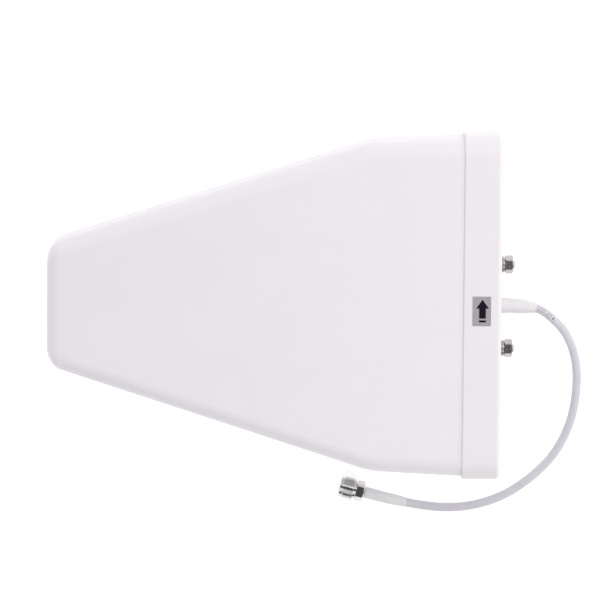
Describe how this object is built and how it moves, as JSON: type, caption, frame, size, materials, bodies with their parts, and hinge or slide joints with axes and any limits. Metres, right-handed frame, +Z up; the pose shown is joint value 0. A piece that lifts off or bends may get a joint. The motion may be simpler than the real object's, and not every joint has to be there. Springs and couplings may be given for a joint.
{
  "type": "log-periodic panel antenna",
  "caption": "Flat tapered log-periodic directional antenna in a white plastic radome, with rear mounting studs and a short coaxial lead ending in a type N socket.",
  "frame": {"origin": "middle of the underside of the antenna as it lies on its broad face, without the lead", "axes": "-X the way the antenna looks, +X the way its studs point, +Y the side the polarity arrow names, +Z up through its thickness"},
  "size_m": [0.3747, 0.271, 0.064],
  "materials": {
    "white_abs": "fine satin, warm white",
    "white_abs_cap": "fine satin, warm white, a little lighter",
    "rubber": "matt black EPDM",
    "steel": "stainless, turned",
    "zinc_steel": "zinc plated sheet",
    "nickel": "nickel plated",
    "aluminium": "extruded, as drawn",
    "aluminium_rod": "drawn rod",
    "nylon": "natural nylon",
    "white_pvc": "moulded soft PVC",
    "white_cable": "extruded PVC jacket",
    "black_coax": "extruded jacket",
    "copper": "bright copper strip",
    "foam": "closed-cell foam",
    "chrome": "nickel plated, bright",
    "ptfe": "white PTFE",
    "gold": "gold plated brass",
    "white_shrink": "shrunk polyolefin sleeve",
    "label_grey": "printed film"
  },
  "bodies": {
    "antenna": {"radome_shell": "white_abs", "rear_cap": "white_abs_cap", "cap_gasket": "rubber", "upper_boom": "aluminium", "lower_boom": "aluminium", "mounting_plate": "zinc_steel", "boom_clip_1": "nylon", "boom_clip_2": "nylon", "boom_screw_upper": "steel", "boom_screw_lower": "steel", "cable_boot": "white_pvc", "pigtail_cable": "white_cable", "heat_shrink": "white_shrink", "crimp_ferrule": "chrome", "jack_shell": "chrome", "jack_back_nut": "chrome", "jack_insulator": "ptfe", "jack_contact": "gold", "feed_coax": "black_coax", "feed_link": "copper", "front_support": "foam", "polarity_label": "label_grey", "cap_screw_1": "steel", "cap_screw_2": "steel", "cap_screw_3": "steel", "cap_screw_4": "steel", "mount_stud_1": "steel", "stud_seal_1": "rubber", "flat_washer_1": "nickel", "mount_stud_2": "steel", "stud_seal_2": "rubber", "flat_washer_2": "nickel", "dipole_01_upper_rod": "aluminium_rod", "dipole_01_lower_rod": "aluminium_rod", "dipole_02_upper_rod": "aluminium_rod", "dipole_02_lower_rod": "aluminium_rod", "dipole_03_upper_rod": "aluminium_rod", "dipole_03_lower_rod": "aluminium_rod", "dipole_04_upper_rod": "aluminium_rod", "dipole_04_lower_rod": "aluminium_rod", "dipole_05_upper_rod": "aluminium_rod", "dipole_05_lower_rod": "aluminium_rod", "dipole_06_upper_rod": "aluminium_rod", "dipole_06_lower_rod": "aluminium_rod", "dipole_07_upper_rod": "aluminium_rod", "dipole_07_lower_rod": "aluminium_rod", "dipole_08_upper_rod": "aluminium_rod", "dipole_08_lower_rod": "aluminium_rod", "dipole_09_upper_rod": "aluminium_rod", "dipole_09_lower_rod": "aluminium_rod", "dipole_10_upper_rod": "aluminium_rod", "dipole_10_lower_rod": "aluminium_rod", "dipole_11_upper_rod": "aluminium_rod", "dipole_11_lower_rod": "aluminium_rod", "dipole_12_upper_rod": "aluminium_rod", "dipole_12_lower_rod": "aluminium_rod"},
    "washer_1": {"spring_washer_1": "nickel"},
    "nut_1": {"hex_nut_1": "nickel"},
    "washer_2": {"spring_washer_2": "nickel"},
    "nut_2": {"hex_nut_2": "nickel"}
  },
  "joints": [
    {"name": "nut_1_travel", "type": "slide", "parent": "antenna", "child": "washer_1", "axis": [1, 0, 0], "range_m": [0, 0.00508]},
    {"name": "nut_1_turn", "type": "hinge", "parent": "washer_1", "child": "nut_1", "pos_m": [0.15825, 0.0285, 0.032], "axis": [1, 0, 0], "range_deg": [0, 1440]},
    {"name": "nut_2_travel", "type": "slide", "parent": "antenna", "child": "washer_2", "axis": [1, 0, 0], "range_m": [0, 0.00508]},
    {"name": "nut_2_turn", "type": "hinge", "parent": "washer_2", "child": "nut_2", "pos_m": [0.15825, -0.0304, 0.032], "axis": [1, 0, 0], "range_deg": [0, 1440]}
  ],
  "couplings": [
    {"joint": "nut_1_turn", "follows": "nut_1_travel", "rad_per_m": 4947.4},
    {"joint": "nut_2_turn", "follows": "nut_2_travel", "rad_per_m": 4947.4}
  ]
}
